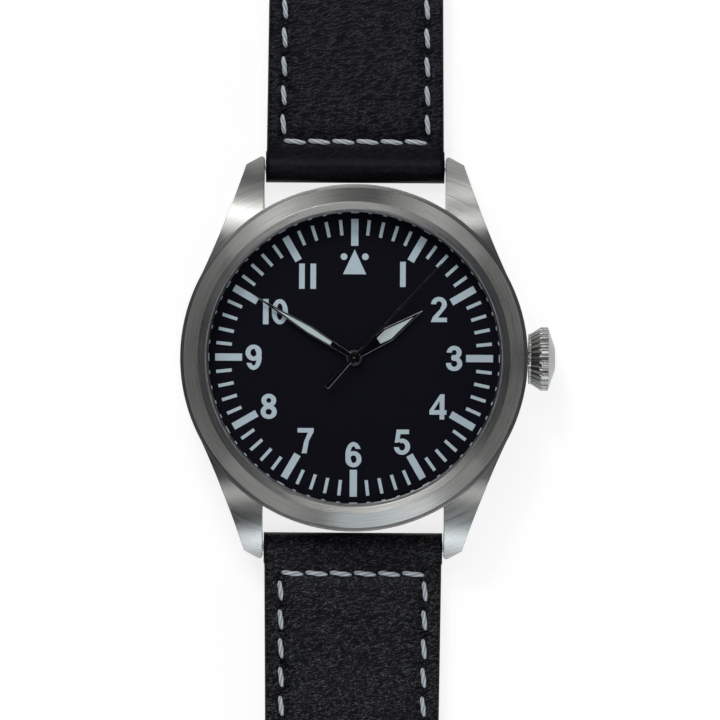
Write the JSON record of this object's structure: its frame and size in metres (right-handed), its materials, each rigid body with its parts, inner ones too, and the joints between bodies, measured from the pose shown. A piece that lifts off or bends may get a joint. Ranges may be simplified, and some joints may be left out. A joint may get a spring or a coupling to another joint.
{
  "type": "pilot watch",
  "caption": "Pilot watch laid open flat: brushed steel case with lugs, black dial with large numerals, fluted conical crown, stitched leather strap halves, keepers and pin buckle.",
  "frame": {"origin": "on the dial axis, in the flat underside of the case back", "axes": "+Z out of the dial, +Y towards 12 o'clock, +X towards the crown"},
  "size_m": [0.0454, 0.2542, 0.0113],
  "materials": {
    "brushed_steel": "fine brushed",
    "polished_steel": "polished",
    "crystal": "clear, coated",
    "gasket_clear": "satin",
    "black_enamel": "gloss",
    "dial_black": "matt",
    "dial_lume": "matt lume",
    "hand_lume": "matt lume",
    "hand_black": "satin",
    "rubber": "matt",
    "movement_ring": "satin",
    "plated_brass": "nickel plated",
    "brass": "gilt",
    "ruby": "polished",
    "spring_steel": "satin",
    "strap_leather": "grained",
    "strap_lining": "smooth nubuck",
    "thread": "twisted"
  },
  "bodies": {
    "case": {"case_middle": "brushed_steel", "bezel": "brushed_steel", "crystal": "crystal", "crystal_gasket": "gasket_clear", "rehaut_ring": "black_enamel", "dial": "dial_black", "dial_markers": "dial_lume", "case_back": "brushed_steel", "case_back_gasket": "rubber", "crown_tube": "polished_steel", "movement_ring": "movement_ring", "main_plate": "plated_brass", "train_bridge": "plated_brass", "barrel_bridge": "plated_brass", "balance_cock": "plated_brass", "pallet_bridge": "plated_brass", "jewels": "ruby", "movement_screws": "polished_steel", "spring_bars": "polished_steel", "hairspring": "spring_steel"},
    "barrel": {"barrel": "brass", "mainspring": "spring_steel"},
    "ratchet_wheel": {"barrel_arbor": "polished_steel", "ratchet_wheel": "polished_steel"},
    "center_wheel": {"center_wheel": "brass"},
    "third_wheel": {"third_wheel": "brass"},
    "fourth_wheel": {"fourth_wheel": "brass", "seconds_hand": "hand_black"},
    "escape_wheel": {"escape_wheel": "polished_steel"},
    "pallet_fork": {"pallet_fork": "polished_steel"},
    "balance_wheel": {"balance_wheel": "brass"},
    "rotor": {"rotor": "brushed_steel"},
    "winding_pinion": {"winding_pinion": "polished_steel"},
    "sliding_pinion": {"sliding_pinion": "polished_steel"},
    "crown": {"winding_stem": "polished_steel", "crown": "brushed_steel", "crown_gasket": "rubber"},
    "crown_wheel": {"crown_wheel": "polished_steel"},
    "minute_hand": {"cannon_pinion": "polished_steel", "minute_hand": "hand_black", "minute_hand_lume": "hand_lume"},
    "minute_wheel": {"minute_wheel": "brass"},
    "hour_hand": {"hour_wheel": "brass", "hour_hand": "hand_black", "hour_hand_lume": "hand_lume"},
    "bar_tip_12_right": {"bar_tip_12_right": "polished_steel"},
    "bar_tip_12_left": {"bar_tip_12_left": "polished_steel"},
    "bar_tip_6_right": {"bar_tip_6_right": "polished_steel"},
    "bar_tip_6_left": {"bar_tip_6_left": "polished_steel"},
    "strap_12": {"strap_12_upper": "strap_leather", "strap_12_lining": "strap_lining", "stitching_12": "thread", "fixed_keeper": "strap_leather"},
    "strap_6": {"strap_6_upper": "strap_leather", "strap_6_lining": "strap_lining", "stitching_6": "thread"},
    "free_keeper": {"free_keeper": "strap_leather"},
    "buckle_frame": {"buckle_frame": "brushed_steel", "buckle_bar": "polished_steel"},
    "buckle_tongue": {"buckle_tongue": "brushed_steel"}
  },
  "joints": [
    {"name": "strap_12_hinge", "type": "hinge", "parent": "case", "child": "strap_12", "pos_m": [0, 0.02315, 0.0021], "axis": [1, 0, 0], "range_deg": [-90, 45]},
    {"name": "strap_6_hinge", "type": "hinge", "parent": "case", "child": "strap_6", "pos_m": [0, -0.02315, 0.0021], "axis": [-1, 0, 0], "range_deg": [-90, 45]},
    {"name": "free_keeper_slide", "type": "slide", "parent": "strap_12", "child": "free_keeper", "axis": [0, 1, 0], "range_m": [-0.022, 0.004]},
    {"name": "buckle_hinge", "type": "hinge", "parent": "strap_12", "child": "buckle_frame", "pos_m": [0, 0.098, 0.003], "axis": [1, 0, 0], "range_deg": [-60, 45]},
    {"name": "tongue_hinge", "type": "hinge", "parent": "buckle_frame", "child": "buckle_tongue", "pos_m": [0, 0.098, 0.003], "axis": [1, 0, 0], "range_deg": [0, 75]},
    {"name": "bar_tip_12_right_slide", "type": "slide", "parent": "case", "child": "bar_tip_12_right", "axis": [-1, 0, 0], "range_m": [0, 0.0011]},
    {"name": "bar_tip_12_left_slide", "type": "slide", "parent": "case", "child": "bar_tip_12_left", "axis": [1, 0, 0], "range_m": [0, 0.0011]},
    {"name": "bar_tip_6_right_slide", "type": "slide", "parent": "case", "child": "bar_tip_6_right", "axis": [-1, 0, 0], "range_m": [0, 0.0011]},
    {"name": "bar_tip_6_left_slide", "type": "slide", "parent": "case", "child": "bar_tip_6_left", "axis": [1, 0, 0], "range_m": [0, 0.0011]},
    {"name": "crown_turn", "type": "hinge", "parent": "case", "child": "winding_pinion", "pos_m": [0.0104, 0, 0.0044], "axis": [1, 0, 0], "continuous": true},
    {"name": "crown_pull", "type": "slide", "parent": "winding_pinion", "child": "crown", "axis": [1, 0, 0], "range_m": [0, 0.0012]},
    {"name": "sliding_pinion_shift", "type": "slide", "parent": "winding_pinion", "child": "sliding_pinion", "axis": [1, 0, 0], "range_m": [-0.00072, 0]},
    {"name": "crown_wheel_turn", "type": "hinge", "parent": "case", "child": "crown_wheel", "pos_m": [0.0087, 0, 0.00205], "axis": [0, 0, 1], "continuous": true},
    {"name": "ratchet_turn", "type": "hinge", "parent": "case", "child": "ratchet_wheel", "pos_m": [0.00325, 0.00563, 0.00205], "axis": [0, 0, 1], "continuous": true},
    {"name": "rotor_turn", "type": "hinge", "parent": "case", "child": "rotor", "pos_m": [0, 0, 0.00155], "axis": [0, 0, 1], "continuous": true},
    {"name": "seconds_turn", "type": "hinge", "parent": "case", "child": "fourth_wheel", "pos_m": [0, 0, 0.003], "axis": [0, 0, 1], "continuous": true},
    {"name": "third_turn", "type": "hinge", "parent": "case", "child": "third_wheel", "pos_m": [-0.00068, -0.00485, 0.0037], "axis": [0, 0, 1], "continuous": true},
    {"name": "center_turn", "type": "hinge", "parent": "case", "child": "center_wheel", "pos_m": [0, 0, 0.0048], "axis": [0, 0, 1], "continuous": true},
    {"name": "barrel_turn", "type": "hinge", "parent": "case", "child": "barrel", "pos_m": [0.00325, 0.00563, 0.004], "axis": [0, 0, 1], "continuous": true},
    {"name": "escape_turn", "type": "hinge", "parent": "case", "child": "escape_wheel", "pos_m": [-0.00446, -0.00162, 0.0043], "axis": [0, 0, 1], "continuous": true},
    {"name": "pallet_swing", "type": "hinge", "parent": "case", "child": "pallet_fork", "pos_m": [-0.0062, -0.00012, 0.0043], "axis": [0, 0, 1], "range_deg": [-5, 5]},
    {"name": "balance_swing", "type": "hinge", "parent": "case", "child": "balance_wheel", "pos_m": [-0.00841, 0.00179, 0.0034], "axis": [0, 0, 1], "range_deg": [-270, 270]},
    {"name": "minute_turn", "type": "hinge", "parent": "case", "child": "minute_hand", "pos_m": [0, 0, 0.0064], "axis": [0, 0, 1], "continuous": true},
    {"name": "minute_wheel_turn", "type": "hinge", "parent": "case", "child": "minute_wheel", "pos_m": [0.00221, -0.00185, 0.0064], "axis": [0, 0, 1], "continuous": true},
    {"name": "hour_turn", "type": "hinge", "parent": "case", "child": "hour_hand", "pos_m": [0, 0, 0.0068], "axis": [0, 0, 1], "continuous": true}
  ],
  "couplings": [
    {"joint": "sliding_pinion_shift", "follows": "crown_pull", "ratio": -0.6},
    {"joint": "crown_wheel_turn", "follows": "crown_turn", "ratio": 0.75},
    {"joint": "ratchet_turn", "follows": "crown_turn", "ratio": -0.45},
    {"joint": "third_turn", "follows": "seconds_turn", "ratio": -0.13333},
    {"joint": "center_turn", "follows": "seconds_turn", "ratio": 0.016667},
    {"joint": "barrel_turn", "follows": "seconds_turn", "ratio": -0.0025641},
    {"joint": "escape_turn", "follows": "seconds_turn", "ratio": -12},
    {"joint": "minute_wheel_turn", "follows": "minute_turn", "ratio": -0.33333},
    {"joint": "hour_turn", "follows": "minute_turn", "ratio": 0.083333}
  ]
}
